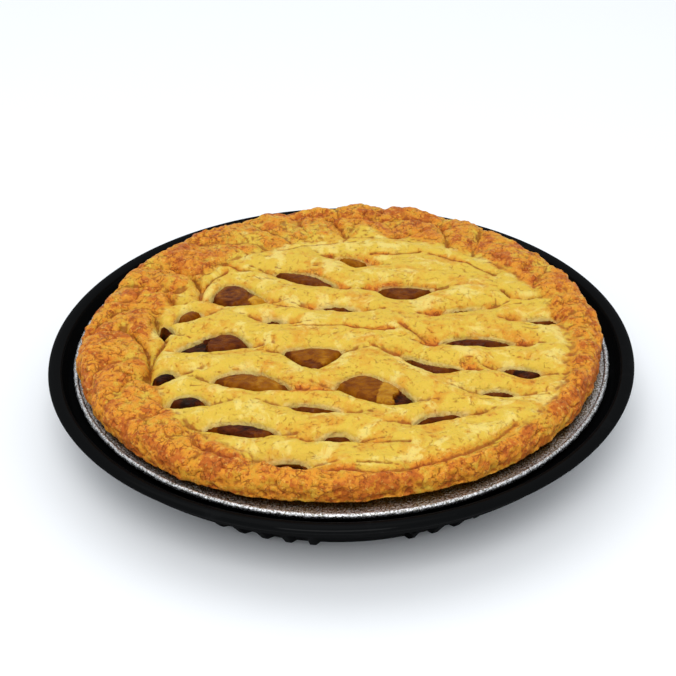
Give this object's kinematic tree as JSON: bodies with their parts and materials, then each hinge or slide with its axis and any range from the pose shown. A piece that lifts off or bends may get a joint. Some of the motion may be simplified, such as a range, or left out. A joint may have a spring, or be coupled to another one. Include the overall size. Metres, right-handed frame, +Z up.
{
  "type": "braided apple pie",
  "caption": "Round baked apple pie with a slit, braided pastry lid and crimped border, in a curled foil tin that nests in a wider black tray with a ribbed foot.",
  "frame": {"origin": "on the surface that the tray stands on, under the middle of the tray", "axes": "+Z up through the pie, -Y towards the side that faces the picture's camera, +X to that camera's right"},
  "size_m": [0.2666, 0.2666, 0.0491],
  "materials": {
    "black_plastic": "glossy black moulded plastic",
    "aluminium_foil": "pressed foil with a crinkled edge, lightly greased",
    "pastry": "golden baked crust, browned on the border and the high spots, with fine crags",
    "apple_filling": "wet, translucent cooked apple in brown syrup"
  },
  "bodies": {
    "root": {"tray": "black_plastic", "foil_tin": "aluminium_foil", "crust": "pastry", "filling": "apple_filling"}
  },
  "joints": []
}
